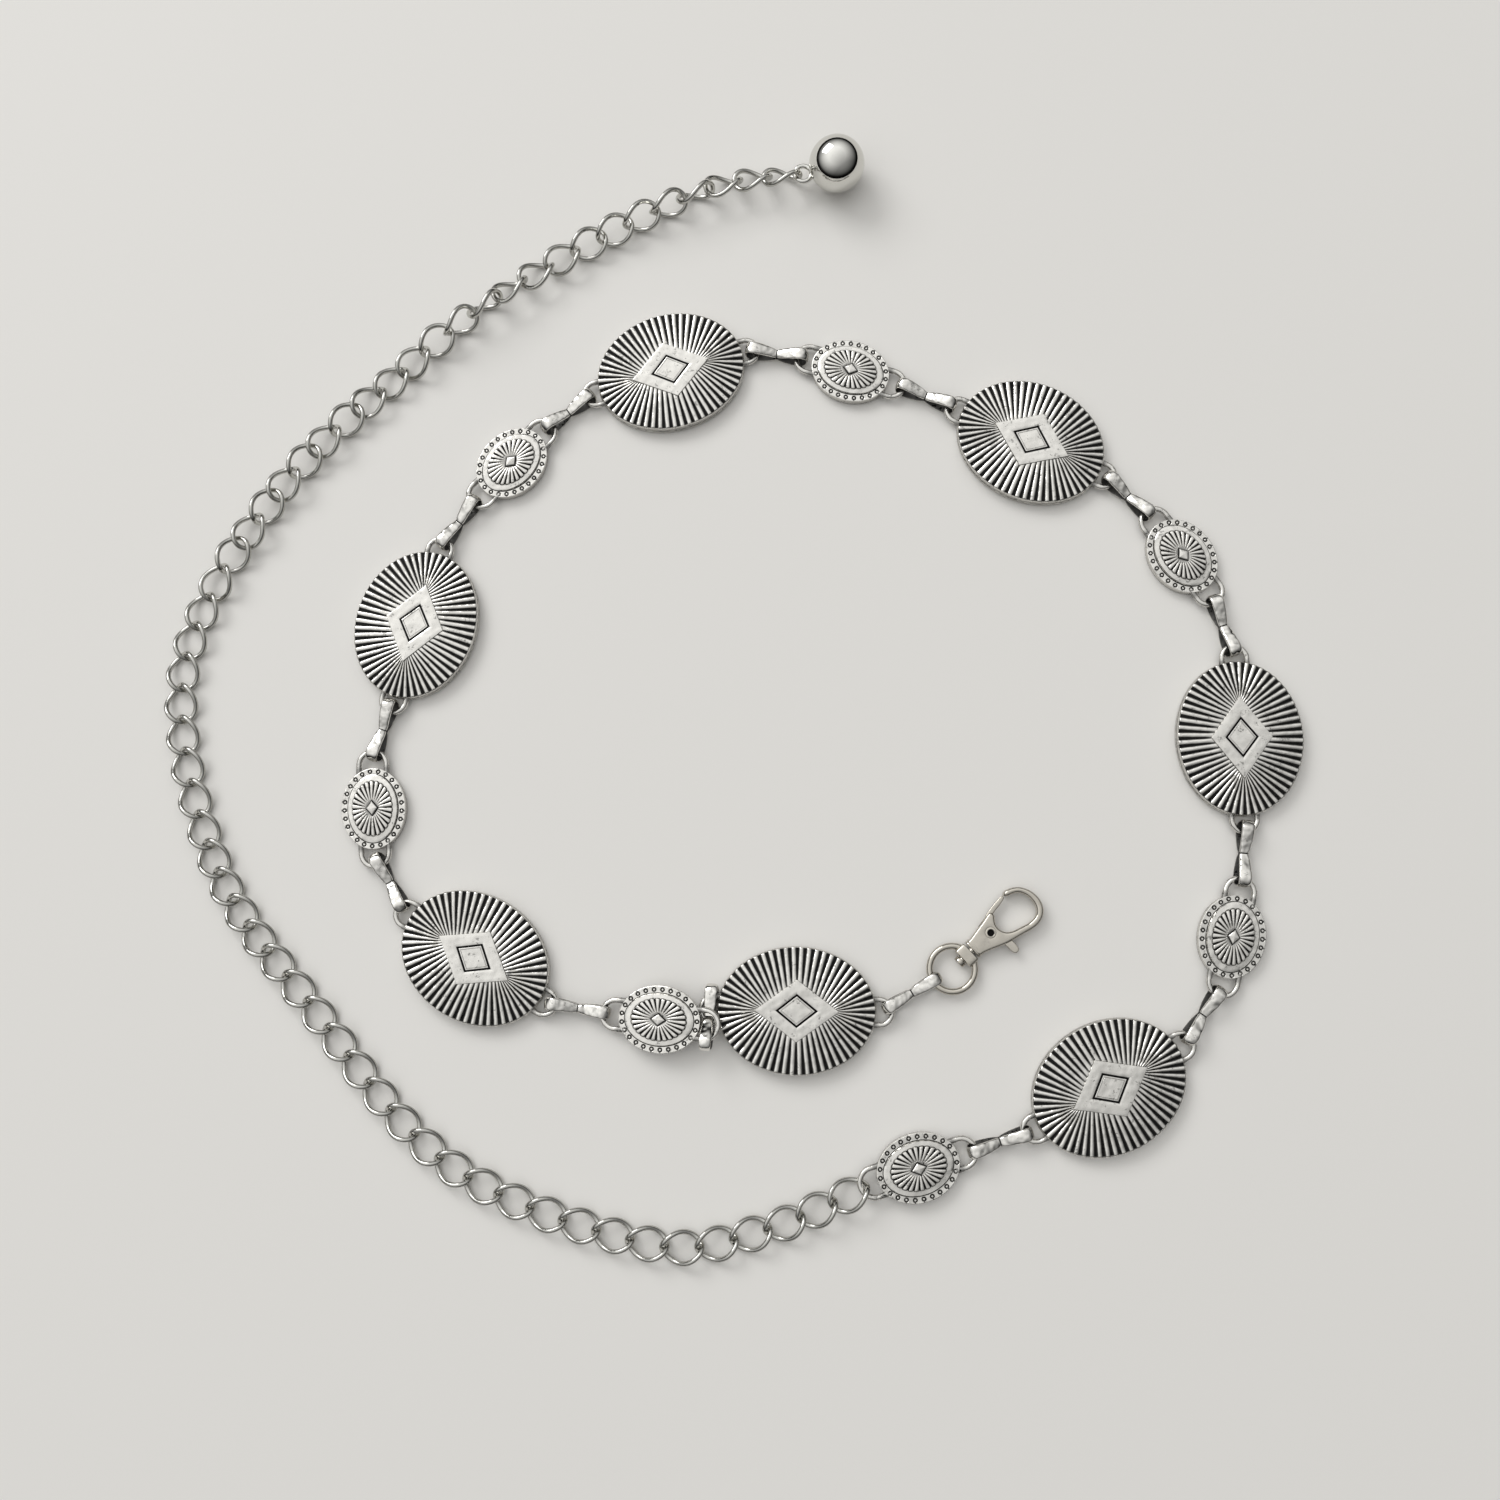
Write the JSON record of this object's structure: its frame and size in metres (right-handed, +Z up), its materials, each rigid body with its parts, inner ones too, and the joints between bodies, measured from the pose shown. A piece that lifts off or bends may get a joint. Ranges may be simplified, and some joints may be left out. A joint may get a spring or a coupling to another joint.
{
  "type": "waist chain",
  "caption": "Waist chain of domed oval conchos with ribbed and sunburst relief, joined by strip connectors, with a swivel snap hook and a twisted-link chain ending in a ball.",
  "frame": {"origin": "middle of the bounding box on the table that the belt lies on", "axes": "+Z up from the table; +X to the right and +Y away from the viewer in the picture"},
  "size_m": [0.2947, 0.2942, 0.015],
  "materials": {
    "antique_silver": "cast white metal with a bright antiqued silver plating and blackened recesses",
    "dark_silver": "cast white metal with an antiqued silver plating",
    "bright_nickel": "polished nickel plating"
  },
  "bodies": {
    "belt": {"large_concho_1": "antique_silver", "large_concho_2": "antique_silver", "large_concho_3": "antique_silver", "large_concho_4": "antique_silver", "large_concho_5": "antique_silver", "large_concho_6": "antique_silver", "large_concho_7": "antique_silver", "small_concho_1": "antique_silver", "small_concho_2": "antique_silver", "small_concho_3": "antique_silver", "small_concho_4": "antique_silver", "small_concho_5": "antique_silver", "small_concho_6": "antique_silver", "small_concho_7": "antique_silver", "connector_1": "dark_silver", "connector_2": "dark_silver", "connector_3": "dark_silver", "connector_4": "dark_silver", "connector_5": "dark_silver", "connector_6": "dark_silver", "connector_7": "dark_silver", "connector_8": "dark_silver", "connector_9": "dark_silver", "connector_10": "dark_silver", "connector_11": "dark_silver", "connector_12": "dark_silver", "connector_13": "dark_silver", "connector_14": "dark_silver", "chain": "bright_nickel", "ball": "bright_nickel", "swivel_ring": "bright_nickel"},
    "hook": {"hook_body": "bright_nickel", "swivel_pin": "bright_nickel", "rivet": "bright_nickel"},
    "lever": {"gate_lever": "bright_nickel"}
  },
  "joints": [
    {"name": "hook_swivel", "type": "hinge", "parent": "belt", "child": "hook", "pos_m": [0.06055, -0.07164, 0.0018], "axis": [0.7314, 0.682, 0], "continuous": true},
    {"name": "lever_hinge", "type": "hinge", "parent": "hook", "child": "lever", "pos_m": [0.06691, -0.0657, 0.0018], "axis": [0, 0, -1], "range_deg": [0, 28], "stiffness_Nm_per_rad": 0.001, "springref_deg": -17.19}
  ]
}
